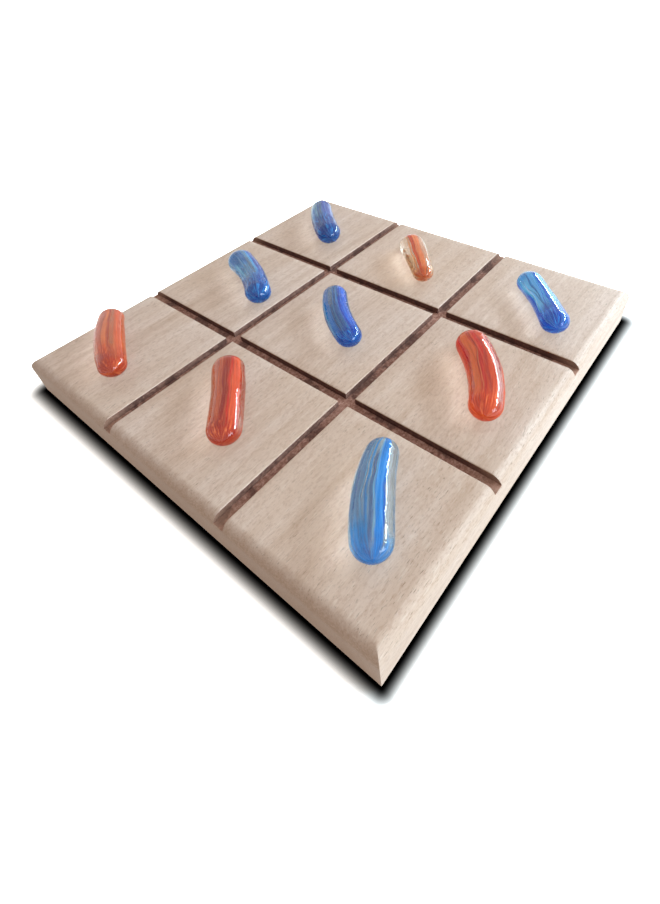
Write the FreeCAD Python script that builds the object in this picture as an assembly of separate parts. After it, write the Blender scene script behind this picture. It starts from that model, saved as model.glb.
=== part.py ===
# Tic tac toe set: one grooved beech board and nine hand-made glass counters that lie on it.
#
# Millimetres. The origin is the centre of the board's underside and +Z is up. The wood grain runs
# along Y. Each counter is a bent bean of clear glass, the casing, cast round a core of coloured
# glass. It lies on a narrow flat that the hot glass took from the slab it cooled on.
import FreeCAD, Part
import math
import os
from collections import namedtuple

Vector = FreeCAD.Vector

# Board
BOARD_SIDE = 160.0
BOARD_THICKNESS = 15.0
EDGE_ROUND = 4.0            # radius sanded on the four top edges
GROOVE_WIDTH = 3.75
GROOVE_DEPTH = 2.5
CELLS = 3                   # cells along each side

# Counters
HEIGHT_TO_WIDTH = 0.85      # the hot glass sags, so a counter is lower than it is wide
FLAT_DEPTH = 0.3            # how far the flat cuts into the round underside
CASING_WALL = 1.5           # clear glass round the core
CORE_CLEARANCE = 0.15       # gap that keeps the core's skin apart from the casing's

# Each counter lies near the middle of one cell. column and row count cells from the middle one,
# aside and ahead shift the counter from the cell's centre along X and Y, and turn is the angle of
# its length from +X. The three widths are at its head, middle and tail, and bend is how far the
# middle of its centre line bows to the left, seen from head to tail.
Counter = namedtuple("Counter", "name column row aside ahead turn length head middle tail bend")
COUNTERS = [
    Counter("blue_counter_1", -1, 1, 1.0, -1.75, -40.5, 35.5, 10.5, 11.25, 11.25, -0.7),
    Counter("orange_counter_1", 0, 1, 2.5, -5.0, -43.5, 30.0, 11.0, 10.25, 8.75, 0.2),
    Counter("blue_counter_2", 1, 1, 2.5, -4.75, -45.5, 34.0, 10.0, 9.5, 10.25, 0.7),
    Counter("blue_counter_3", -1, 0, 8.0, 1.0, -26.5, 36.0, 11.5, 10.5, 10.5, 1.3),
    Counter("blue_counter_4", 0, 0, 0.25, 0.75, -38.0, 34.0, 9.75, 10.25, 9.75, -1.25),
    Counter("orange_counter_2", 1, 0, 3.5, 3.5, -52.5, 37.25, 11.5, 11.5, 10.75, 1.7),
    Counter("orange_counter_3", -1, -1, -4.0, -2.75, -30.0, 37.75, 9.5, 10.75, 10.0, -0.6),
    Counter("orange_counter_4", 0, -1, -0.5, 3.75, -43.0, 36.0, 11.0, 11.0, 10.75, 0.4),
    Counter("blue_counter_5", 1, -1, 1.75, 3.75, -58.5, 35.75, 9.75, 11.5, 11.25, -0.95),
]

BARREL_STATIONS = 7         # cross-sections that a counter's skin is drawn through, end to end

CELL = (BOARD_SIDE - (CELLS - 1) * GROOVE_WIDTH) / CELLS
PITCH = CELL + GROOVE_WIDTH


def make_board():
    """The square slab: sanded top edges, crisp corners and grooves that run out at every edge."""
    half = BOARD_SIDE / 2
    slab = Part.makeBox(BOARD_SIDE, BOARD_SIDE, BOARD_THICKNESS, Vector(-half, -half, 0))
    top_edges = [
        edge for edge in slab.Edges
        if all(abs(vertex.Z - BOARD_THICKNESS) < 1e-6 for vertex in edge.Vertexes)
    ]
    board = slab.makeFillet(EDGE_ROUND, top_edges)
    floor = BOARD_THICKNESS - GROOVE_DEPTH
    for number in range(1, CELLS):
        start = -half + number * PITCH - GROOVE_WIDTH
        along_x = Part.makeBox(
            BOARD_SIDE, GROOVE_WIDTH, GROOVE_DEPTH, Vector(-half, start, floor))
        along_y = Part.makeBox(
            GROOVE_WIDTH, BOARD_SIDE, GROOVE_DEPTH, Vector(start, -half, floor))
        board = board.cut(along_x)
        board = board.cut(along_y)
    return board.removeSplitter()


def section(x, y, radius, inset, heading):
    """One round cross-section, upright and square to the centre line, clear of the floor."""
    wire = Part.Wire([Part.makeCircle(radius - inset)])
    wire.rotate(Vector(0, 0, 0), Vector(0, 1, 0), 90)
    wire.rotate(Vector(0, 0, 0), Vector(0, 0, 1), heading)
    wire.translate(Vector(x, y, radius))
    return wire


def round_end(x, radius, inset, heading, way):
    """The half ball that closes one end. way is -1 at the head and +1 at the tail."""
    slope = math.radians(heading)
    outward = Vector(way * math.cos(slope), way * math.sin(slope), 0)
    return Part.makeSphere(radius - inset, Vector(x, 0, radius), outward, 0, 90, 360)


def make_bean(counter, inset):
    """The bent bean that lies inset under a counter's outer skin, on the floor, head at -X."""
    head, middle, tail = counter.head / 2, counter.middle / 2, counter.tail / 2
    spine = counter.length - head - tail
    rings = []
    for number in range(BARREL_STATIONS):
        t = number / (BARREL_STATIONS - 1)
        radius = head * (1 - t) * (1 - 2 * t) + middle * 4 * t * (1 - t) + tail * t * (2 * t - 1)
        heading = math.degrees(math.atan(4 * counter.bend * (1 - 2 * t) / spine))
        x = (t - 0.5) * spine
        y = counter.bend * 4 * t * (1 - t)
        rings.append(section(x, y, radius, inset, heading))
    barrel = Part.makeLoft(rings, True, False)
    end_heading = math.degrees(math.atan(4 * counter.bend / spine))
    head_end = round_end(-spine / 2, head, inset, end_heading, -1)
    tail_end = round_end(spine / 2, tail, inset, -end_heading, 1)
    bean = barrel.fuse([head_end, tail_end]).Solids[0]
    sag = FreeCAD.Matrix()
    sag.scale(1, 1, HEIGHT_TO_WIDTH)
    bean = bean.transformGeometry(sag)
    bean.translate(Vector(0, 0, -FLAT_DEPTH))
    return bean


def place(shape, counter):
    """Turn a bean made about Z and stand it in its cell on top of the board."""
    shape.rotate(Vector(0, 0, 0), Vector(0, 0, 1), counter.turn)
    bow = Vector(0, counter.bend, 0)
    shift = FreeCAD.Rotation(Vector(0, 0, 1), counter.turn).multVec(bow)
    x = counter.column * PITCH + counter.aside - shift.x
    y = counter.row * PITCH + counter.ahead - shift.y
    shape.translate(Vector(x, y, BOARD_THICKNESS))
    return shape


def make_counter(counter):
    """The clear casing, hollow and flat underneath, and the coloured core that it holds."""
    outer = make_bean(counter, 0.0)
    reach = counter.length
    below = Part.makeBox(2 * reach, 2 * reach, reach, Vector(-reach, -reach, -reach))
    cavity = make_bean(counter, CASING_WALL - CORE_CLEARANCE)
    casing = outer.cut(below).cut(cavity)
    core = make_bean(counter, CASING_WALL)
    return place(casing, counter), place(core, counter)


def save(shape, node):
    """Write one node's STEP file and say what is in it."""
    shape.exportStep("parts/" + node + ".step")
    print(node, "solids", len(shape.Solids), "valid", shape.isValid(), "mm3", round(shape.Volume))


def main():
    os.makedirs("parts", exist_ok=True)
    save(make_board(), "board")
    for counter in COUNTERS:
        casing, core = make_counter(counter)
        save(casing, counter.name + "_casing")
        save(core, counter.name + "_core")


main()
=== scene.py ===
import math
from collections import namedtuple

import bpy
from mathutils import Matrix, Vector, noise


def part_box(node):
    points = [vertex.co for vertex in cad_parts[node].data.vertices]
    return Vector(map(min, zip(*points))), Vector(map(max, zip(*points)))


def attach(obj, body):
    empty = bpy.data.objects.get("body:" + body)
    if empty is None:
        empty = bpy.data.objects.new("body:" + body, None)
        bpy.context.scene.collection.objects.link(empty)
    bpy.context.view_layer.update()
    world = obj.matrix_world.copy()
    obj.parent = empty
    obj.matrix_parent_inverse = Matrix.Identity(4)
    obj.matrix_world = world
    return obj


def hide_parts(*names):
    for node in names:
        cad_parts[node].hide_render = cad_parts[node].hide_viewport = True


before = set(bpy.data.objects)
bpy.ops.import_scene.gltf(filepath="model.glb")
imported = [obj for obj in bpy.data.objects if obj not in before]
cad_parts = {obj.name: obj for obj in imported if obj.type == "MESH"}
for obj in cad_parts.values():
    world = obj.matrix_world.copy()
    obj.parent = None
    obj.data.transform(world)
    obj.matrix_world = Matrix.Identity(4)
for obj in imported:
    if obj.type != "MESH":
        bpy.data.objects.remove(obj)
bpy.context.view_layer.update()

MM = 0.001

# ---------------------------------------------------------------------------- sizes, in mm

BOARD_LOW, BOARD_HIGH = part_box("board")
SIDE = (BOARD_HIGH.x - BOARD_LOW.x) / MM
THICKNESS = (BOARD_HIGH.z - BOARD_LOW.z) / MM
EDGE_ROUND = 4.0            # the rounding of the four top edges
GROOVE_WIDTH = 3.75
GROOVE_DEPTH = 2.5
RIM_ROUND = 0.3             # how far the sandpaper broke the sharp rims of the grooves
ARRIS = 0.25                # the same along the lower edges
CELLS = 3                   # cells along each side
PITCH = (SIDE - (CELLS - 1) * GROOVE_WIDTH) / CELLS + GROOVE_WIDTH

EDGE_STEPS = 12             # steps of the board's mesh across a rounded edge
RIM_STEPS = 4               # across a groove's rim
FLOOR_STEPS = 6             # across a groove's floor
WALL_LEAN = 0.03            # how far a groove's wall leans, so that a height can describe it
FINEST_STEP = 0.004
COARSEST_STEP = 4.0
FLOOR_WAVE = 0.05           # how far a groove's floor wanders
FLOOR_WAVES = 0.9           # and how many waves it has to the mm

HEIGHT_TO_WIDTH = 0.85      # of a counter's cross-section
FLAT_DEPTH = 0.3            # how deep its flat is ground into the oval
FLAT_AIR = 0.04             # air under a counter's flat, so glass and wood don't share a face
FLAT_SOFT = 0.12            # how softly its sides turn into the flat
FLAT_DROP = 0.009           # lowers what that softness lifts
CORE_DEPTH = 0.9            # clear glass over the coloured streaks
END_DEPTH = 0.6             # the same past their two ends
WAVE = 0.16                 # how far the hand-made skin wanders
WAVE_INSET = 0.9            # the share of WAVE that the skin is drawn in by, to stay in its box
WAVES = 0.16                # waves of the skin to the mm
RIPPLE = 0.4                # a finer wave, as a share of the first one's height
RIPPLES = 2.7               # and of its number of waves
GLASS_INDEX = 1.5

CAP_RINGS = 16              # rings of a counter's mesh over each round end
BARREL_RINGS = 56           # and between the two
AROUND = 72                 # points in each ring

# turn is in degrees from +X. head, middle and tail are the widths at those places, and bend is
# how far the middle lies to the left of the straight line from head to tail.
Counter = namedtuple("Counter", "name turn length head middle tail bend")
COUNTERS = [
    Counter("blue_counter_1", -40.5, 35.5, 10.5, 11.25, 11.25, -0.7),
    Counter("orange_counter_1", -43.5, 30.0, 11.0, 10.25, 8.75, 0.2),
    Counter("blue_counter_2", -45.5, 34.0, 10.0, 9.5, 10.25, 0.7),
    Counter("blue_counter_3", -26.5, 36.0, 11.5, 10.5, 10.5, 1.3),
    Counter("blue_counter_4", -38.0, 34.0, 9.75, 10.25, 9.75, -1.25),
    Counter("orange_counter_2", -52.5, 37.25, 11.5, 11.5, 10.75, 1.7),
    Counter("orange_counter_3", -30.0, 37.75, 9.5, 10.75, 10.0, -0.6),
    Counter("orange_counter_4", -43.0, 36.0, 11.0, 11.0, 10.75, 0.4),
    Counter("blue_counter_5", -58.5, 35.75, 9.75, 11.5, 11.25, -0.95),
]

# ---------------------------------------------------------------------------- camera

EYE = Vector((0.1005, -0.1009, BOARD_HIGH.z + 0.1106))
AZIMUTH, ELEVATION, ROLL = 41.8, 43.74, -4.69       # degrees
LENS, SENSOR = 19.21, 36.0                          # mm
SHIFT_X, SHIFT_Y = -0.0352, -0.0883
NEAREST_SEEN, FARTHEST_SEEN = 0.005, 50.0


def make_camera():
    """A close wide-angle view from above the board's +X -Y corner."""
    azimuth, elevation, roll = (math.radians(a) for a in (AZIMUTH, ELEVATION, ROLL))
    back = Vector((
        math.sin(azimuth) * math.cos(elevation),
        -math.cos(azimuth) * math.cos(elevation),
        math.sin(elevation)))
    level = Vector((math.cos(azimuth), math.sin(azimuth), 0))
    upright = back.cross(level)
    right = level * math.cos(roll) + upright * math.sin(roll)
    up = back.cross(right)
    data = bpy.data.cameras.new("camera")
    data.sensor_width = SENSOR
    data.lens = LENS
    data.shift_x = SHIFT_X
    data.shift_y = SHIFT_Y
    data.clip_start = NEAREST_SEEN
    data.clip_end = FARTHEST_SEEN
    camera = bpy.data.objects.new("camera", data)
    bpy.context.scene.collection.objects.link(camera)
    place = Matrix((right, up, back)).transposed().to_4x4()
    place.translation = EYE
    camera.matrix_world = place
    bpy.context.scene.camera = camera


# ---------------------------------------------------------------------------- node helpers

class Web:
    """A node tree, with short calls that add a node and link what feeds it."""

    def __init__(self, tree):
        self.tree = tree
        tree.nodes.clear()

    def add(self, kind, values=None, **settings):
        node = self.tree.nodes.new("ShaderNode" + kind)
        for key, value in settings.items():
            setattr(node, key, value)
        for key, value in (values or {}).items():
            socket = node.inputs[key]
            if isinstance(value, bpy.types.NodeSocket):
                self.tree.links.new(value, socket)
            else:
                socket.default_value = value
        return node

    def math(self, operation, a, b=0.0, c=0.0, clamp=False):
        node = self.add("Math", {0: a, 1: b, 2: c}, operation=operation)
        node.use_clamp = clamp
        return node.outputs[0]

    def blend(self, a, b, share):
        """Two values in one: a by the share, and b by the rest."""
        return self.math("ADD", self.math("MULTIPLY", a, share),
                         self.math("MULTIPLY", b, 1 - share))

    def centred(self, value, width):
        """A value from 0 to 1 as one that goes as far to each side of 0."""
        return self.math("MULTIPLY_ADD", value, width, -width / 2)

    def step(self, value, low, high):
        """A smooth step from 0 at low to 1 at high, where low may be the larger of the two."""
        node = self.add("MapRange", {0: value, 1: low, 2: high, 3: 0.0, 4: 1.0})
        node.interpolation_type = "SMOOTHSTEP"
        return node.outputs[0]

    def mix(self, factor, a, b):
        return self.add("Mix", {0: factor, 6: a, 7: b}, data_type="RGBA").outputs[2]

    def tint(self, colour, mask, share, towards):
        """A colour moved towards another by up to a share, where the mask is 1."""
        return self.mix(self.math("MULTIPLY", mask, share), colour, towards)

    def ramp(self, factor, stops):
        node = self.add("ValToRGB", {0: factor})
        elements = node.color_ramp.elements
        while len(elements) > 1:
            elements.remove(elements[-1])
        elements[0].position, elements[0].color = stops[0]
        for position, colour in stops[1:]:
            elements.new(position).color = colour
        return node.outputs[0]

    def stretch(self, place, scale, shift=(0, 0, 0)):
        return self.add("Mapping", {0: place, 1: shift, 3: scale}).outputs[0]

    def noise(self, place, waves, shift=(0, 0, 0), detail=2.0, rough=0.5, distortion=0.0):
        """Noise that has so many waves to the unit along each axis."""
        return self.add("TexNoise", {
            "Vector": self.stretch(place, waves, shift), "Scale": 1.0, "Detail": detail,
            "Roughness": rough, "Distortion": distortion}).outputs[0]

    def facing(self):
        """The x, y and z of the way that the surface faces."""
        return self.add("SeparateXYZ", {0: self.add("TexCoord").outputs["Normal"]}).outputs

    def millimetres(self):
        return self.stretch(self.add("TexCoord").outputs["Object"], (1000, 1000, 1000))


def rgb(r, g, b, a=1.0):
    """A colour written as 0 to 255 on the screen, as the linear values that Blender takes."""
    def linear(c):
        c /= 255
        return c / 12.92 if c <= 0.04045 else ((c + 0.055) / 1.055) ** 2.4
    return (linear(r), linear(g), linear(b), a)


def new_material(name):
    material = bpy.data.materials.new(name)
    material.use_nodes = True
    return material, Web(material.node_tree)


# ---------------------------------------------------------------------------- wood

WOOD_INDEX = 1.45


def bent_grain(web, mm):
    """The place in the wood, drawn sideways here and there so that its grain isn't straight."""
    drift = web.noise(mm, (0.03, 0.008, 0.05), detail=1.0)
    sideways = web.add("CombineXYZ", {0: web.math("MULTIPLY", drift, 9.0)}).outputs[0]
    return web.add("VectorMath", {0: mm, 1: sideways}, operation="ADD").outputs[0]


def beech_colour(web, mm, grain, fibres, flecks):
    """Bands and fibres along the grain, with fainter marks laid over them one by one."""
    bands = web.noise(grain, (0.30, 0.010, 0.22), detail=3.0, rough=0.6)
    colour = web.ramp(web.blend(bands, fibres, 0.6), [
        (0.32, rgb(188, 159, 142)),
        (0.45, rgb(205, 179, 163)),
        (0.56, rgb(214, 190, 176)),
        (0.70, rgb(223, 202, 190))])
    clouds = web.noise(mm, (0.035, 0.022, 0.035))
    colour = web.tint(colour, web.step(clouds, 0.35, 0.7), 0.35, rgb(196, 164, 138))
    colour = web.mix(flecks, colour, rgb(116, 84, 66))
    mottle = web.noise(grain, (1.5, 0.6, 1.5), (7, 31, 3), detail=3.0, rough=0.6)
    colour = web.tint(colour, web.step(mottle, 0.46, 0.68), 0.34, rgb(170, 132, 110))
    specks = web.noise(grain, (4.2, 1.1, 4.2), (3, 17, 9), detail=1.0)
    colour = web.tint(colour, web.step(specks, 0.62, 0.76), 0.36, rgb(130, 96, 78))
    shine = web.noise(grain, (1.8, 0.22, 1.8), (40, 9, 3), detail=1.0)
    colour = web.tint(colour, web.step(shine, 0.58, 0.75), 0.3, rgb(230, 214, 200))
    pores = web.noise(mm, (1.6, 1.6, 2.6), rough=0.7)
    end_grain = web.mix(web.step(pores, 0.4, 0.7), rgb(162, 127, 103), rgb(184, 149, 125))
    at_end = web.step(web.math("ABSOLUTE", web.facing()[1]), 0.35, 0.95)
    return web.tint(colour, at_end, 0.8, end_grain)


def make_beech():
    material, web = new_material("beech_wood")
    mm = web.millimetres()
    grain = bent_grain(web, mm)
    fibres = web.noise(grain, (2.6, 0.07, 2.6), detail=4.0, rough=0.65)
    # the short dark flecks of beech, which are more crowded in some places than in others
    crowd = web.step(web.noise(mm, (0.10, 0.05, 0.10), detail=1.0), 0.3, 0.65)
    flecks = web.step(web.noise(grain, (3.0, 0.42, 3.0)), 0.60, 0.74)
    flecks = web.math("MULTIPLY", flecks, web.math("MULTIPLY_ADD", crowd, 0.45, 0.22))
    height = web.math("SUBTRACT", web.math("MULTIPLY", fibres, 0.5),
                      web.math("MULTIPLY", flecks, 0.8))
    bump = web.add("Bump", {"Strength": 0.35, "Distance": 0.00008, "Height": height})
    shader = web.add("BsdfPrincipled", {
        "Base Color": beech_colour(web, mm, grain, fibres, flecks),
        "Roughness": web.math("MULTIPLY_ADD", fibres, 0.16, 0.42),
        "Normal": bump.outputs[0], "IOR": WOOD_INDEX})
    web.add("OutputMaterial", {0: shader.outputs[0]})
    return material


def make_char():
    """The burnt wood inside the grooves: a mottled floor, and walls that are the darkest where
    the cut runs across the grain. Part of that difference is painted light and shade: walls
    facing ±X are paler as if lit by the lamps, and walls facing ±Y darker as if in shade."""
    material, web = new_material("burnt_wood")
    mm = web.millimetres()
    facing = web.facing()
    mottle = web.noise(mm, (0.8, 0.8, 0.8), detail=4.0, rough=0.7)
    fine = web.noise(mm, (2.2, 0.7, 2.2), detail=3.0, rough=0.7)
    tone = web.blend(mottle, fine, 0.6)
    # walls across the grain, facing ±Y, are darker, partly as painted shade; walls along it,
    # facing ±X, are paler, partly as painted light
    across_grain_shaded = web.ramp(tone, [
        (0.35, rgb(66, 36, 28)), (0.55, rgb(98, 60, 48)), (0.70, rgb(140, 96, 80))])
    along_grain_lit = web.ramp(tone, [
        (0.35, rgb(92, 60, 50)), (0.55, rgb(134, 100, 88)), (0.70, rgb(176, 140, 126))])
    floors = web.ramp(tone, [
        (0.34, rgb(118, 74, 62)), (0.50, rgb(170, 122, 106)), (0.66, rgb(212, 170, 154))])
    walls = web.mix(web.math("ABSOLUTE", facing[0], clamp=True), across_grain_shaded, along_grain_lit)
    colour = web.mix(web.step(facing[2], 0.3, 0.9), walls, floors)
    blotch = web.noise(mm, (0.14, 0.14, 0.14), (5, 2, 0), detail=3.0, rough=0.6)
    colour = web.tint(colour, web.step(blotch, 0.50, 0.60), 0.62, rgb(72, 42, 34))
    # the grooves are paler where they run out over the rounded edge
    place = web.add("SeparateXYZ", {0: mm}).outputs
    reach = web.math("MAXIMUM", web.math("ABSOLUTE", place[0]), web.math("ABSOLUTE", place[1]))
    run_out = web.step(reach, SIDE / 2 - 3 * EDGE_ROUND, SIDE / 2 - EDGE_ROUND / 4)
    colour = web.tint(colour, run_out, 0.45, rgb(176, 138, 116))
    bump = web.add("Bump", {"Strength": 0.5, "Distance": 0.0001, "Height": mottle})
    shader = web.add("BsdfPrincipled", {
        "Base Color": colour, "Roughness": 0.75, "Normal": bump.outputs[0], "IOR": WOOD_INDEX})
    web.add("OutputMaterial", {0: shader.outputs[0]})
    return material


def edge_height(distance):
    """Height of the rounded top edge at a distance in from the board's side."""
    if distance >= EDGE_ROUND:
        return THICKNESS
    run = EDGE_ROUND - distance
    return THICKNESS - EDGE_ROUND + math.sqrt(max(EDGE_ROUND ** 2 - run ** 2, 0))


def groove_height(across):
    """Height of a groove's cross-section at a distance from its middle."""
    wall = GROOVE_WIDTH / 2
    if across >= wall + RIM_ROUND:
        return THICKNESS
    if across >= wall:
        run = wall + RIM_ROUND - across
        return THICKNESS - RIM_ROUND + math.sqrt(max(RIM_ROUND ** 2 - run ** 2, 0))
    return THICKNESS - GROOVE_DEPTH


def groove_lines():
    return [-SIDE / 2 + number * PITCH - GROOVE_WIDTH / 2 for number in range(1, CELLS)]


def arc_steps(radius, steps):
    """How far in from a round edge each step of its quarter circle lies."""
    return [radius * (1 - math.cos(math.pi / 2 * number / steps)) for number in range(steps + 1)]


def board_lines():
    """The places along one side where the board's mesh has a line."""
    half = SIDE / 2
    wall = GROOVE_WIDTH / 2
    marks = set()
    for inward in arc_steps(EDGE_ROUND, EDGE_STEPS):
        marks.update((-half + inward, half - inward))
    for middle in groove_lines():
        for outward in arc_steps(RIM_ROUND, RIM_STEPS):
            marks.update((middle - wall - outward, middle + wall + outward))
        marks.update((middle - wall + WALL_LEAN, middle + wall - WALL_LEAN))
        for number in range(1, FLOOR_STEPS):
            marks.add(middle - wall + GROOVE_WIDTH * number / FLOOR_STEPS)
    marks = sorted(marks)
    lines = [marks[0]]
    for mark in marks[1:]:
        start = lines[-1]
        gap = mark - start
        if gap < FINEST_STEP:
            continue
        parts = max(1, math.ceil(gap / COARSEST_STEP))
        lines += [start + gap * k / parts for k in range(1, parts)] + [mark]
    return lines


def top_points(lines):
    """A point where each two lines cross, as high as the wood is there."""
    floor = THICKNESS - GROOVE_DEPTH
    edges = [edge_height(SIDE / 2 - abs(mark)) for mark in lines]
    cuts = [min(groove_height(abs(mark - middle)) for middle in groove_lines()) for mark in lines]
    points = []
    for x, edge_x, cut_x in zip(lines, edges, cuts):
        for y, edge_y, cut_y in zip(lines, edges, cuts):
            edge, cut = min(edge_x, edge_y), min(cut_x, cut_y)
            z = min(edge, cut)
            if cut <= floor < edge:
                z += FLOOR_WAVE * noise.noise(Vector((x * FLOOR_WAVES, y * FLOOR_WAVES, 3.0)))
            points.append((x, y, z))
    return points


def is_burnt(x, y):
    """Whether a place on the top is in a groove and inward of where its floor meets the edge."""
    in_groove = any(abs(mark - middle) < GROOVE_WIDTH / 2
                    for mark in (x, y) for middle in groove_lines())
    above_floor = EDGE_ROUND - GROOVE_DEPTH
    meets = EDGE_ROUND - math.sqrt(EDGE_ROUND ** 2 - above_floor ** 2)
    return in_groove and SIDE / 2 - max(abs(x), abs(y)) >= meets


def top_faces(lines):
    """The faces between the lines, and for each whether it is burnt."""
    count = len(lines)
    faces, burnt = [], []
    for i in range(count - 1):
        for j in range(count - 1):
            a = i * count + j
            b, c, d = a + count, a + count + 1, a + 1
            x, y = (lines[i] + lines[i + 1]) / 2, (lines[j] + lines[j + 1]) / 2
            if SIDE / 2 - min(abs(x), abs(y)) >= EDGE_ROUND:
                faces.append((a, b, c, d))
                burnt.append(is_burnt(x, y))
                continue
            # the mitre where two rounded edges meet runs along the diagonal of these
            if (x > 0) != (y > 0):
                faces += [(a, b, d), (b, c, d)]
            else:
                faces += [(a, b, c), (a, c, d)]
            burnt += [False, False]
    return faces, burnt


def close_below(points, faces, count):
    """Adds the sides, the lower arris and the underside to a top of count by count points."""
    half = SIDE / 2
    # the outer points, anticlockwise seen from above
    ring = [i * count for i in range(count)]
    ring += [(count - 1) * count + j for j in range(1, count)]
    ring += [i * count + count - 1 for i in range(count - 2, -1, -1)]
    ring += list(range(count - 2, 0, -1))
    for height, inset in ((ARRIS, 0.0), (0.0, ARRIS)):
        below = []
        for k in ring:
            x, y, _ = points[k]
            below.append(len(points))
            points.append((
                max(-half + inset, min(half - inset, x)),
                max(-half + inset, min(half - inset, y)), height))
        for n in range(len(ring)):
            m = (n + 1) % len(ring)
            faces.append((ring[n], below[n], below[m], ring[m]))
        ring = below
    faces.append(tuple(reversed(ring)))


def make_board(beech, char):
    """The slab as one closed mesh, with the burnt wood as its second material."""
    lines = board_lines()
    points = top_points(lines)
    faces, burnt = top_faces(lines)
    close_below(points, faces, len(lines))
    burnt += [False] * (len(faces) - len(burnt))
    mesh = bpy.data.meshes.new("board_slab")
    mesh.from_pydata([Vector(p) * MM for p in points], [], faces)
    mesh.materials.append(beech)
    mesh.materials.append(char)
    mesh.polygons.foreach_set("material_index", [int(b) for b in burnt])
    mesh.shade_smooth()
    mesh.set_sharp_from_angle(angle=math.radians(32))
    mesh.validate()
    board = bpy.data.objects.new("board_slab", mesh)
    bpy.context.scene.collection.objects.link(board)
    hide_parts("board")
    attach(board, "board")


# ---------------------------------------------------------------------------- glass

def bean_rings(counter, inset):
    """Rings along a bean as (centre, across, radius, share of its length), in its own frame."""
    head, middle, tail = counter.head / 2, counter.middle / 2, counter.tail / 2
    spine = counter.length - head - tail
    ends = min(inset, END_DEPTH)
    rings = []

    def add(x, y, z, slope, radius, along):
        across = Vector((-math.sin(slope), math.cos(slope), 0))
        rings.append((Vector((x, y, z)), across, radius, along))

    end_slope = math.atan(4 * counter.bend / spine)
    for number in range(CAP_RINGS):
        angle = math.pi / 2 * (1 - number / CAP_RINGS)
        reach = (head - ends) * math.sin(angle)
        add(-spine / 2 - reach * math.cos(end_slope), -reach * math.sin(end_slope), head,
            end_slope, (head - inset) * math.cos(angle), (head - reach) / counter.length)
    for number in range(BARREL_RINGS + 1):
        t = number / BARREL_RINGS
        radius = head * (1 - t) * (1 - 2 * t) + middle * 4 * t * (1 - t) + tail * t * (2 * t - 1)
        slope = math.atan(4 * counter.bend * (1 - 2 * t) / spine)
        add((t - 0.5) * spine, counter.bend * 4 * t * (1 - t), radius, slope, radius - inset,
            (head + t * spine) / counter.length)
    for number in range(1, CAP_RINGS + 1):
        angle = math.pi / 2 * number / CAP_RINGS
        reach = (tail - ends) * math.sin(angle)
        add(spine / 2 + reach * math.cos(end_slope), -reach * math.sin(end_slope), tail,
            -end_slope, (tail - inset) * math.cos(angle),
            (head + spine + reach) / counter.length)
    return rings


def skin_point(ring, angle, flat, wave, seed):
    """A point on a ring: out from its centre, waved, made oval, and stopped at the flat."""
    centre, across, radius, _ = ring
    out = across * math.sin(angle) + Vector((0, 0, math.cos(angle)))
    p = centre + out * radius
    q = p * WAVES + Vector((seed * 7.1, seed * 3.3, 0))
    grow = wave * noise.noise(q) + RIPPLE * wave * noise.noise(q * RIPPLES)
    p -= out * (wave * WAVE_INSET - grow)
    above = p.z * HEIGHT_TO_WIDTH - FLAT_DEPTH - flat
    z = flat + (above + math.sqrt(above ** 2 + FLAT_SOFT ** 2)) / 2 - FLAT_DROP
    return Vector((p.x, p.y, z))


def bean_mesh(name, counter, inset, wave, seed):
    """A closed skin over a bean's rings, with a UV that runs around and along it."""
    rings = bean_rings(counter, inset)
    flat = FLAT_AIR + inset * HEIGHT_TO_WIDTH
    last = len(rings) - 1
    points, faces, uvs = [], [], []
    for number, ring in enumerate(rings):
        if number in (0, last):
            centre, across, _, along = ring
            points.append(skin_point((centre, across, 0.0, along), 0.0, flat, wave, seed))
            continue
        for k in range(AROUND):
            angle = 2 * math.pi * k / AROUND - math.pi
            points.append(skin_point(ring, angle, flat, wave, seed))

    def index(number, k):
        if number == 0:
            return 0
        if number == last:
            return len(points) - 1
        return 1 + (number - 1) * AROUND + k % AROUND

    for number in range(last):
        a, b = rings[number][3], rings[number + 1][3]
        for k in range(AROUND):
            u0, u1 = k / AROUND, (k + 1) / AROUND
            if number == 0:
                faces.append((0, index(1, k), index(1, k + 1)))
                uvs.extend([((u0 + u1) / 2, a), (u0, b), (u1, b)])
            elif number == last - 1:
                faces.append((index(number, k + 1), index(number, k), index(last, 0)))
                uvs.extend([(u1, a), (u0, a), ((u0 + u1) / 2, b)])
            else:
                faces.append((index(number, k), index(number + 1, k),
                              index(number + 1, k + 1), index(number, k + 1)))
                uvs.extend([(u0, a), (u0, b), (u1, b), (u1, a)])
    mesh = bpy.data.meshes.new(name)
    mesh.from_pydata([p * MM for p in points], [], faces)
    layer = mesh.uv_layers.new(name="around_along")
    layer.data.foreach_set("uv", [c for uv in uvs for c in uv])
    mesh.shade_smooth()
    return mesh


def seat(counter, shell, core):
    """Turns a bean and moves it to where the middle of its box is the middle of the casing's."""
    turn = Matrix.Rotation(math.radians(counter.turn), 4, "Z")
    for mesh in (shell, core):
        mesh.transform(turn)
    low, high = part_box(counter.name + "_casing")
    middle = (low + high) / 2
    xs = [v.co.x for v in shell.vertices]
    ys = [v.co.y for v in shell.vertices]
    move = Matrix.Translation((
        middle.x - (min(xs) + max(xs)) / 2,
        middle.y - (min(ys) + max(ys)) / 2, BOARD_HIGH.z))
    for mesh in (shell, core):
        mesh.transform(move)


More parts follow.
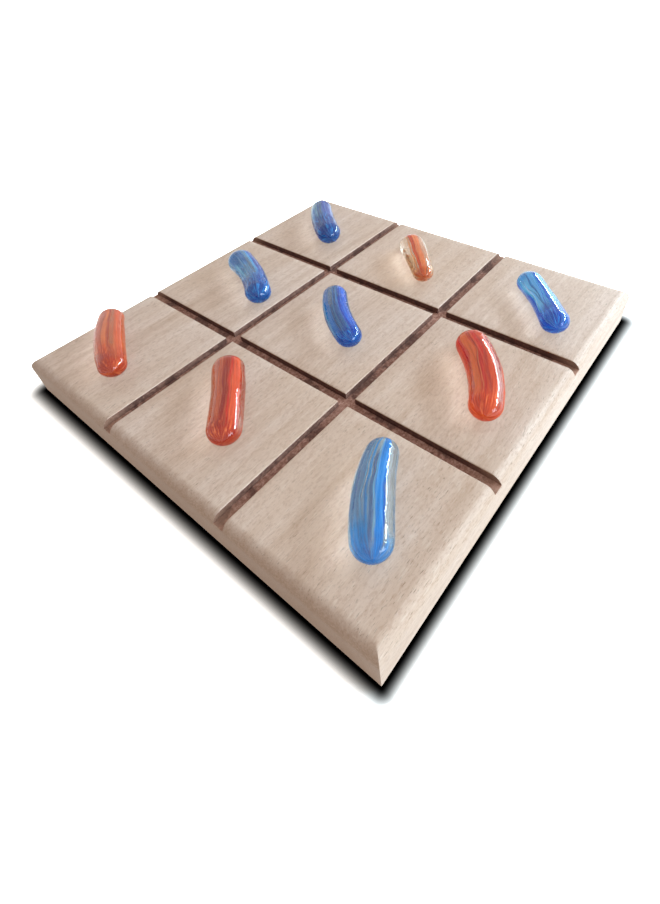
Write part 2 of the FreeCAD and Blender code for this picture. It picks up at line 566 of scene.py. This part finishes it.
def make_clear():
    """Clear glass with the faint waves of a hand-worked skin. It lets most of a lamp's light
    straight through, so that a counter's shadow is as light as glass makes it."""
    material, web = new_material("clear_glass")
    place = web.add("TexCoord").outputs["Object"]
    waves = web.noise(place, (320, 320, 320), detail=3.0)
    fine = web.noise(place, (1300, 1300, 1300))
    height = web.math("MULTIPLY_ADD", fine, 0.12, waves)
    bump = web.add("Bump", {"Strength": 0.4, "Distance": 0.0002, "Height": height})
    glass = web.add("BsdfPrincipled", {
        "Base Color": (1, 1, 1, 1), "Roughness": 0.0, "IOR": GLASS_INDEX,
        "Transmission Weight": 1.0, "Specular IOR Level": 0.36,
        "Normal": bump.outputs[0]}).outputs[0]
    through = web.add("BsdfTransparent", {0: (0.94, 0.88, 0.80, 1)}).outputs[0]
    shadow = web.math("MULTIPLY", web.add("LightPath").outputs["Is Shadow Ray"], 0.8)
    web.add("OutputMaterial", {
        0: web.add("MixShader", {0: shadow, 1: glass, 2: through}).outputs[0]})
    return material


# The coloured glass in each counter. lean is how far, in degrees, its streaks are turned from
# the top of the bean towards the left of its way from head to tail. base and hides are the
# colour between the streaks and how much it hides. tail_colour gathers at the tail, from the
# share of the length in tail_from.
#
# A streak is where its middle shows at the head, at the middle and at the tail, as a share of
# the half width, with the left as plus. Then come its half width in the same measure, its
# colour, how much it hides, and the two shares of the length that it runs between.
Streaks = namedtuple("Streaks", "lean base hides tail_colour tail_from streaks")
LOOKS = {
    "blue_counter_1": Streaks(-9, (30, 98, 148), 0.82, (2, 50, 134), 0.56, [
        (-0.60, -0.75, -0.80, 0.30, (92, 166, 186), 0.55, 0.0, 0.45),
        (-0.70, -0.65, -0.55, 0.20, (24, 116, 182), 0.85, 0.25, 0.9),
        (-0.30, -0.25, -0.20, 0.05, (124, 190, 223), 0.80, 0.1, 0.8),
        (0.05, 0.05, 0.05, 0.12, (24, 82, 136), 0.60, 0.1, 0.7),
        (0.60, 0.70, 0.60, 0.30, (6, 58, 158), 0.95, 0.0, 0.8),
        (0.30, 0.30, 0.30, 0.14, (13, 104, 194), 0.95, 0.55, 0.95),
        (-0.45, 0.00, 0.40, 0.04, (40, 96, 176), 0.85, 0.05, 0.65)]),
    "orange_counter_1": Streaks(-21, (216, 187, 140), 0.10, (181, 67, 23), 0.86, [
        (-0.55, -0.55, -0.50, 0.30, (215, 163, 97), 0.22, 0.0, 1.0),
        (-0.20, -0.22, -0.35, 0.09, (228, 137, 74), 0.85, 0.0, 0.95),
        (0.10, 0.12, 0.05, 0.21, (211, 73, 21), 1.00, 0.0, 1.0),
        (0.16, 0.20, 0.12, 0.05, (178, 44, 12), 1.00, 0.05, 0.95),
        (0.50, 0.48, 0.40, 0.24, (223, 114, 57), 0.92, 0.0, 1.0),
        (0.82, 0.80, 0.80, 0.14, (202, 141, 106), 0.55, 0.0, 0.9)]),
    "blue_counter_2": Streaks(-35, (57, 150, 207), 0.80, (10, 70, 178), 0.70, [
        (-0.30, -0.30, -0.25, 0.28, (116, 192, 227), 0.90, 0.18, 0.70),
        (0.25, 0.20, 0.10, 0.16, (99, 177, 226), 0.90, 0.05, 0.75),
        (-0.70, -0.75, -0.50, 0.15, (14, 78, 179), 0.95, 0.35, 1.0),
        (-0.02, 0.00, 0.00, 0.03, (11, 54, 139), 0.90, 0.1, 0.9),
        (0.55, 0.60, 0.50, 0.10, (17, 76, 176), 1.00, 0.0, 0.95),
        (0.80, 0.80, 0.75, 0.07, (107, 183, 229), 0.80, 0.1, 0.9),
        (-0.45, -0.50, -0.20, 0.04, (73, 188, 200), 0.50, 0.0, 1.0),
        (0.30, 0.25, 0.25, 0.12, (33, 128, 184), 0.80, 0.68, 0.95),
        (-0.90, -0.88, -0.85, 0.10, (26, 84, 176), 0.95, 0.0, 1.0),
        (-0.55, -0.15, 0.45, 0.035, (10, 50, 130), 0.90, 0.12, 0.88),
        (0.50, 0.30, -0.35, 0.05, (24, 80, 186), 0.95, 0.30, 0.95),
        (-0.20, -0.45, -0.65, 0.04, (206, 226, 240), 0.85, 0.25, 0.62)]),
    "blue_counter_3": Streaks(-14, (74, 146, 188), 0.52, (2, 66, 150), 0.60, [
        (-0.40, -0.40, -0.40, 0.42, (18, 106, 174), 0.90, 0.0, 0.34),
        (0.20, 0.15, 0.10, 0.20, (26, 96, 164), 0.75, 0.0, 0.40),
        (-0.70, -0.55, -0.50, 0.10, (133, 195, 216), 0.70, 0.30, 0.75),
        (0.30, 0.32, 0.30, 0.09, (76, 96, 123), 0.45, 0.30, 0.65),
        (0.85, 0.80, 0.70, 0.17, (6, 60, 152), 0.95, 0.0, 0.9),
        (0.62, 0.58, 0.50, 0.05, (46, 147, 209), 0.90, 0.1, 0.95),
        (0.55, 0.55, 0.50, 0.18, (11, 100, 181), 1.00, 0.62, 0.95),
        (-0.60, -0.10, 0.35, 0.03, (40, 90, 168), 0.85, 0.05, 0.6),
        (0.10, -0.25, -0.45, 0.03, (150, 190, 220), 0.70, 0.2, 0.8)]),
    "blue_counter_4": Streaks(-10, (34, 98, 150), 0.76, (4, 62, 162), 0.82, [
        (-0.65, -0.65, -0.60, 0.20, (25, 107, 183), 0.90, 0.05, 1.0),
        (-0.90, -0.88, -0.85, 0.06, (103, 170, 213), 0.70, 0.0, 0.9),
        (-0.25, -0.28, -0.25, 0.16, (106, 143, 166), 0.30, 0.05, 0.42),
        (0.00, -0.02, 0.05, 0.04, (9, 50, 130), 0.95, 0.1, 0.95),
        (0.14, 0.15, -0.05, 0.10, (38, 98, 160), 0.75, 0.1, 0.8),
        (0.70, 0.66, 0.60, 0.26, (4, 84, 194), 1.00, 0.0, 1.0),
        (0.34, 0.36, 0.34, 0.10, (5, 50, 154), 1.00, 0.12, 1.0)]),
    "orange_counter_2": Streaks(-16, (202, 68, 23), 0.95, (211, 66, 17), 0.80, [
        (-0.30, -0.38, -0.38, 0.22, (227, 112, 43), 1.00, 0.0, 0.90),
        (-0.78, -0.85, -0.80, 0.14, (196, 42, 15), 1.00, 0.04, 0.50),
        (-0.70, -0.66, -0.70, 0.12, (174, 87, 40), 0.50, 0.45, 0.80),
        (0.45, 0.12, 0.10, 0.15, (198, 39, 15), 1.00, 0.06, 0.95),
        (0.10, -0.10, -0.20, 0.03, (106, 26, 10), 0.85, 0.08, 0.60),
        (0.50, 0.38, 0.42, 0.10, (173, 44, 19), 1.00, 0.15, 0.85),
        (-0.10, -0.05, 0.02, 0.03, (234, 147, 87), 0.85, 0.3, 0.95),
        (0.92, 0.90, 0.90, 0.10, (226, 163, 146), 0.35, 0.0, 0.95)]),
    "orange_counter_3": Streaks(22, (199, 91, 47), 0.78, (177, 51, 21), 0.78, [
        (-0.92, -0.92, -0.92, 0.10, (225, 194, 167), 0.12, 0.0, 0.8),
        (-0.70, -0.70, -0.70, 0.15, (207, 101, 61), 0.80, 0.0, 0.95),
        (-0.38, -0.40, -0.50, 0.13, (228, 126, 70), 1.00, 0.0, 0.95),
        (-0.08, -0.14, -0.10, 0.06, (153, 51, 24), 0.85, 0.06, 0.80),
        (0.10, 0.02, 0.10, 0.12, (183, 109, 63), 0.42, 0.05, 0.70),
        (0.52, 0.50, 0.40, 0.22, (205, 85, 41), 0.88, 0.0, 1.0),
        (-0.55, -0.55, -0.55, 0.22, (220, 92, 35), 1.00, 0.66, 0.95)]),
    "orange_counter_4": Streaks(17, (187, 69, 30), 0.85, (178, 40, 14), 0.84, [
        (-0.80, -0.84, -0.85, 0.20, (163, 131, 94), 0.28, 0.0, 0.85),
        (-0.52, -0.50, -0.52, 0.13, (207, 100, 51), 0.85, 0.0, 1.0),
        (0.04, -0.15, -0.15, 0.17, (150, 35, 13), 1.00, 0.04, 1.0),
        (0.22, 0.12, 0.15, 0.09, (196, 40, 16), 1.00, 0.05, 1.0),
        (0.50, 0.45, 0.40, 0.20, (214, 78, 37), 1.00, 0.0, 0.95),
        (-0.36, -0.34, -0.40, 0.03, (226, 123, 71), 0.80, 0.3, 0.95),
        (0.90, 0.90, 0.90, 0.12, (231, 220, 204), 0.08, 0.0, 0.9)]),
    "blue_counter_5": Streaks(6, (114, 166, 192), 0.30, (13, 113, 194), 0.88, [
        (-0.75, -0.76, -0.76, 0.24, (53, 114, 164), 0.80, 0.04, 0.90),
        (-0.27, -0.30, -0.42, 0.09, (27, 126, 194), 0.95, 0.0, 1.0),
        (-0.52, -0.50, -0.56, 0.03, (90, 169, 218), 0.85, 0.1, 0.9),
        (-0.02, -0.06, -0.20, 0.14, (35, 87, 138), 0.80, 0.18, 0.93),
        (0.06, 0.05, 0.00, 0.025, (79, 182, 227), 0.90, 0.0, 1.0),
        (0.34, 0.31, 0.28, 0.22, (15, 121, 202), 1.00, 0.0, 1.0),
        (0.52, 0.50, 0.42, 0.05, (11, 85, 180), 1.00, 0.1, 1.0),
        (-0.70, -0.70, -0.65, 0.32, (20, 136, 208), 0.95, 0.76, 1.0),
        (0.82, 0.82, 0.80, 0.20, (183, 217, 227), 0.06, 0.0, 0.88)]),
}

# What runs through each kind of coloured glass: pale and deep threads, each with the share
# that it tints by, and the glints at the tail.
Threads = namedtuple("Threads", "pale pale_share deep deep_share glint")
THREADS = {
    "blue": Threads(rgb(120, 184, 228), 0.30, rgb(0, 46, 112), 0.34, rgb(46, 150, 226)),
    "orange": Threads(rgb(236, 146, 100), 0.20, rgb(140, 34, 12), 0.18, rgb(244, 128, 70)),
}

WIDEST_SHARE = 0.99         # of the half width, past which a streak's side is out of sight
SOFT_OUT, SOFT_IN = 2.5, 4.5    # degrees that a streak's soft side takes up, out and in
SOFT_END = 0.07             # the same at its ends, as a share of the length


def kind(counter):
    """The kind of glass that a counter is made of: blue or orange."""
    return counter.name.split("_")[0]


def core_turn(share, core_share):
    """The angle round the core that shows at a share of the half width, through round glass."""
    share = max(-WIDEST_SHARE, min(WIDEST_SHARE, share))
    inside = math.asin(share / GLASS_INDEX)
    return math.degrees(math.asin(share / GLASS_INDEX / core_share) + math.asin(share) - inside)


def streak_mask(web, streak, turn, along, core_share):
    """1 on a streak and 0 off it. turn and along are the place round and along the core."""
    head, middle, tail, half, _, _, first, last = streak
    at_head, at_middle, at_tail = (core_turn(s, core_share) for s in (head, middle, tail))
    width = (core_turn(min(abs(middle) + half, WIDEST_SHARE), core_share)
             - core_turn(max(abs(middle) - half, -WIDEST_SHARE), core_share))
    # a parabola through the streak's three places
    bow = 2 * (at_head - 2 * at_middle + at_tail)
    slope = at_tail - at_head - bow
    line = web.math("MULTIPLY_ADD", along, bow, slope)
    line = web.math("MULTIPLY_ADD", line, along, at_head)
    off = web.math("ABSOLUTE", web.math("SUBTRACT", turn, line))
    mask = web.step(off, width / 2 + SOFT_OUT, width / 2 - SOFT_IN)
    if first > 0:
        mask = web.math("MULTIPLY", mask, web.step(along, first - SOFT_END, first + SOFT_END))
    if last < 1:
        mask = web.math("MULTIPLY", mask, web.step(along, last + SOFT_END, last - SOFT_END))
    return mask


def make_streaks(counter, seed):
    """The coloured glass inside one counter: streaks that run from head to tail, with clearer
    glass between them, and gather at the tail."""
    look, threads = LOOKS[counter.name], THREADS[kind(counter)]
    core_share = 1 - 2 * CORE_DEPTH / counter.middle
    material, web = new_material("streaks_" + counter.name)
    uv = web.add("UVMap", uv_map="around_along").outputs[0]
    around, along, _ = web.add("SeparateXYZ", {0: uv}).outputs
    shift = (seed * 13.7, seed * 5.1, seed * 2.3)
    sway = web.noise(uv, (2.2, 3.2, 1), shift, detail=1.0)
    wisp = web.noise(uv, (13, 3.4, 1), shift, detail=3.0, rough=0.6)
    thread = web.noise(uv, (64, 2.4, 1), shift, detail=3.0, rough=0.6)
    spark = web.noise(uv, (34, 10, 1), shift, detail=3.0, rough=0.7, distortion=0.6)

    # the streaks, laid over the base colour one by one
    turn = web.math("MULTIPLY_ADD", around, 360.0, -180.0 - look.lean)
    turn = web.math("ADD", turn, web.centred(sway, 34.0))
    turn = web.math("ADD", turn, web.centred(wisp, 14.0))
    colour, hides = rgb(*look.base), look.hides
    for streak in look.streaks:
        mask = streak_mask(web, streak, turn, along, core_share)
        streak_colour, streak_hides = streak[4:6]
        colour = web.mix(mask, colour, rgb(*streak_colour))
        hides = web.add("Mix", {0: mask, 2: hides, 3: streak_hides}).outputs[0]

    # the tail, with its glints and depths, and then the threads over everything
    tail = web.step(web.math("ADD", along, web.centred(wisp, 0.3)),
                    look.tail_from - 0.10, look.tail_from + 0.12)
    tail_glass = web.mix(web.step(spark, 0.52, 0.66), rgb(*look.tail_colour), threads.glint)
    tail_glass = web.tint(tail_glass, web.step(spark, 0.48, 0.34), 0.75, threads.deep)
    colour = web.tint(colour, tail, 0.92, tail_glass)
    colour = web.tint(colour, web.step(thread, 0.50, 0.70), threads.pale_share, threads.pale)
    colour = web.tint(colour, web.step(thread, 0.47, 0.32), threads.deep_share, threads.deep)
    colour = web.tint(colour, web.step(wisp, 0.44, 0.30), 0.24, threads.deep)
    hides = web.math("MAXIMUM", hides, web.math("MULTIPLY", tail, 0.95))
    hides = web.math("MULTIPLY", hides, web.math("MULTIPLY_ADD", thread, 0.6, 0.66), clamp=True)

    # the streaks hold back little of the light that the wood gathers through a counter
    path = web.add("LightPath").outputs
    lit = web.math("MAXIMUM", web.step(path["Diffuse Depth"], 0.2, 0.8), path["Is Shadow Ray"])
    hides = web.math("MULTIPLY", hides, web.math("MULTIPLY_ADD", lit, -0.82, 1.0))
    clearness = web.math("MULTIPLY_ADD", lit, 0.13, 0.82)
    body = web.add("BsdfPrincipled", {
        "Base Color": colour, "Roughness": 0.45, "Specular IOR Level": 0.0}).outputs[0]
    glow = web.add("BsdfTranslucent", {0: colour}).outputs[0]
    body = web.add("MixShader", {0: 0.3, 1: body, 2: glow}).outputs[0]
    gap = web.add("BsdfTransparent", {0: web.mix(clearness, colour, (1, 1, 1, 1))}).outputs[0]
    web.add("OutputMaterial", {0: web.add("MixShader", {0: hides, 1: gap, 2: body}).outputs[0]})
    return material


def make_counter(counter, clear, seed):
    shell = bean_mesh(counter.name + "_glass", counter, 0.0, WAVE, seed)
    core = bean_mesh(counter.name + "_streaks", counter, CORE_DEPTH, WAVE * 2, seed + 50)
    seat(counter, shell, core)
    shell.materials.append(clear)
    core.materials.append(make_streaks(counter, seed))
    for mesh, node, slot in (
            (shell, "_casing", "clear_glass"), (core, "_core", kind(counter) + "_glass")):
        piece = bpy.data.objects.new(mesh.name, mesh)
        bpy.context.scene.collection.objects.link(piece)
        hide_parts(counter.name + node)
        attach(piece, counter.name)


# ---------------------------------------------------------------------------- studio

FILL_COLOUR, FILL_LEVEL = (1.0, 0.95, 0.88, 1), 0.55    # the room's light on the object
FLOOR_SEEN = 3.4            # the floor's paleness as the camera sees it
FLOOR_GLOW = 0.7            # and the glow added there, which keeps it white between the lamps
FLOOR_MIRRORED = 1.3        # its paleness in gloss and through glass
FLOOR_LIGHTING = 0.8        # and for the light that it throws back on the object
SHADE_WIDTH = 0.0075        # metres of painted shadow round the board's +X -Y corner
SHADE_GROWTH = 0.0035       # and what it gains with each board width away from there
FLOOR_REACH = 12.0
FLOOR_DROP = 0.0002         # how far it lies below the board, so that the two share no face

# azimuth and elevation are where a lamp stands, seen from the board, in degrees; distance,
# width and height are in metres, and power is in watts.
Lamp = namedtuple("Lamp", "name azimuth elevation distance width height power colour")
LAMPS = [
    Lamp("window_wide_pane", 46, 25, 0.75, 0.27, 0.10, 3.6, (0.72, 0.90, 1.0)),
    Lamp("window_narrow_pane", 23, 25, 0.75, 0.048, 0.08, 0.74, (0.72, 0.90, 1.0)),
    Lamp("window_strip", 77, 22, 0.8, 0.46, 0.06, 2.9, (0.70, 0.90, 1.0)),
    Lamp("sky_panel", 72, 13, 0.8, 0.6, 0.27, 1.3, (0.68, 0.90, 1.0)),
    Lamp("low_panel", -6, 14, 1.2, 0.5, 0.40, 4.3, (0.67, 0.88, 1.0)),
]


def seen_directly(web):
    """1 for a ray from the camera, from a mirror or through glass, and 0 for one that lights."""
    path = web.add("LightPath").outputs
    seen = web.math("MAXIMUM", path["Is Camera Ray"], path["Is Glossy Ray"])
    return web.math("MAXIMUM", seen, path["Is Transmission Ray"])


def make_world():
    world = bpy.data.worlds.new("studio")
    bpy.context.scene.world = world
    world.use_nodes = True
    web = Web(world.node_tree)
    fill = web.add("Background", {0: FILL_COLOUR, 1: FILL_LEVEL})
    white = web.add("Background", {0: (1, 1, 1, 1), 1: 1.0})
    mixed = web.add("MixShader", {0: seen_directly(web), 1: fill.outputs[0], 2: white.outputs[0]})
    web.add("OutputWorld", {0: mixed.outputs[0]})


def painted_floor_shadow(web):
    """A painted shadow, from 0 under the board to 1 on the open floor, over the width of a soft
    close shadow.
    """
    half = SIDE / 2 * MM
    x, y, _ = web.add("SeparateXYZ", {0: web.add("TexCoord").outputs["Object"]}).outputs
    squares = []
    for at in (x, y):
        beyond = web.math("SUBTRACT", web.math("ABSOLUTE", at), half)
        squares.append(web.math("POWER", web.math("MAXIMUM", beyond, 0.0), 2.0))
    far = web.math("SQRT", web.math("ADD", *squares))
    # from -1 at the +X -Y corner, where the shadow is the narrowest, to 1 at the one opposite
    along = web.math("MULTIPLY", web.math("SUBTRACT", y, x), 0.5 / half)
    width = web.math("MULTIPLY_ADD", web.math("ADD", along, 1.0), SHADE_GROWTH, SHADE_WIDTH)
    width = web.math("MAXIMUM", width, SHADE_WIDTH)
    open_air = web.step(web.math("DIVIDE", far, width), 0.03, 1.0)
    return web.math("POWER", open_air, 1.5)


def pale(level):
    return (level, level, level, 1)


def make_floor():
    """A pale table. Close to the board's footprint it darkens with a painted shadow, as under a
    close soft light.
    """
    material, web = new_material("floor")
    shade = painted_floor_shadow(web)
    from_camera = web.add("LightPath").outputs["Is Camera Ray"]
    colour = web.mix(seen_directly(web), pale(FLOOR_LIGHTING), pale(FLOOR_MIRRORED))
    # painted shadow: the floor's seen colour and its glow fall to nothing close to the board
    colour = web.mix(from_camera, colour, web.mix(shade, pale(0), pale(FLOOR_SEEN)))
    glow = web.math("MULTIPLY", web.math("MULTIPLY", shade, FLOOR_GLOW), from_camera)
    both = web.add("AddShader", {
        0: web.add("BsdfDiffuse", {0: colour}).outputs[0],
        1: web.add("Emission", {0: pale(1), 1: glow}).outputs[0]})
    web.add("OutputMaterial", {0: both.outputs[0]})
    mesh = bpy.data.meshes.new("floor")
    mesh.from_pydata([(x * FLOOR_REACH, y * FLOOR_REACH, 0)
                      for x, y in ((-1, -1), (1, -1), (1, 1), (-1, 1))], [], [(0, 1, 2, 3)])
    mesh.materials.append(material)
    floor = bpy.data.objects.new("floor", mesh)
    floor.location.z = -FLOOR_DROP
    bpy.context.scene.collection.objects.link(floor)


def make_lamp(lamp):
    """A soft rectangular light that faces the board."""
    data = bpy.data.lights.new(lamp.name, "AREA")
    data.shape = "RECTANGLE"
    data.size, data.size_y = lamp.width, lamp.height
    data.energy = lamp.power
    data.color = lamp.colour
    light = bpy.data.objects.new(lamp.name, data)
    bpy.context.scene.collection.objects.link(light)
    azimuth, elevation = math.radians(lamp.azimuth), math.radians(lamp.elevation)
    way = Vector((
        math.cos(azimuth) * math.cos(elevation),
        math.sin(azimuth) * math.cos(elevation),
        math.sin(elevation)))
    light.location = way * lamp.distance
    light.rotation_euler = way.to_track_quat("Z", "Y").to_euler()


bpy.context.scene.view_settings.view_transform = "Standard"
make_camera()
make_world()
make_floor()
for lamp in LAMPS:
    make_lamp(lamp)

beech, char = make_beech(), make_char()
make_board(beech, char)
clear = make_clear()
for seed, counter in enumerate(COUNTERS, 1):
    make_counter(counter, clear, seed)
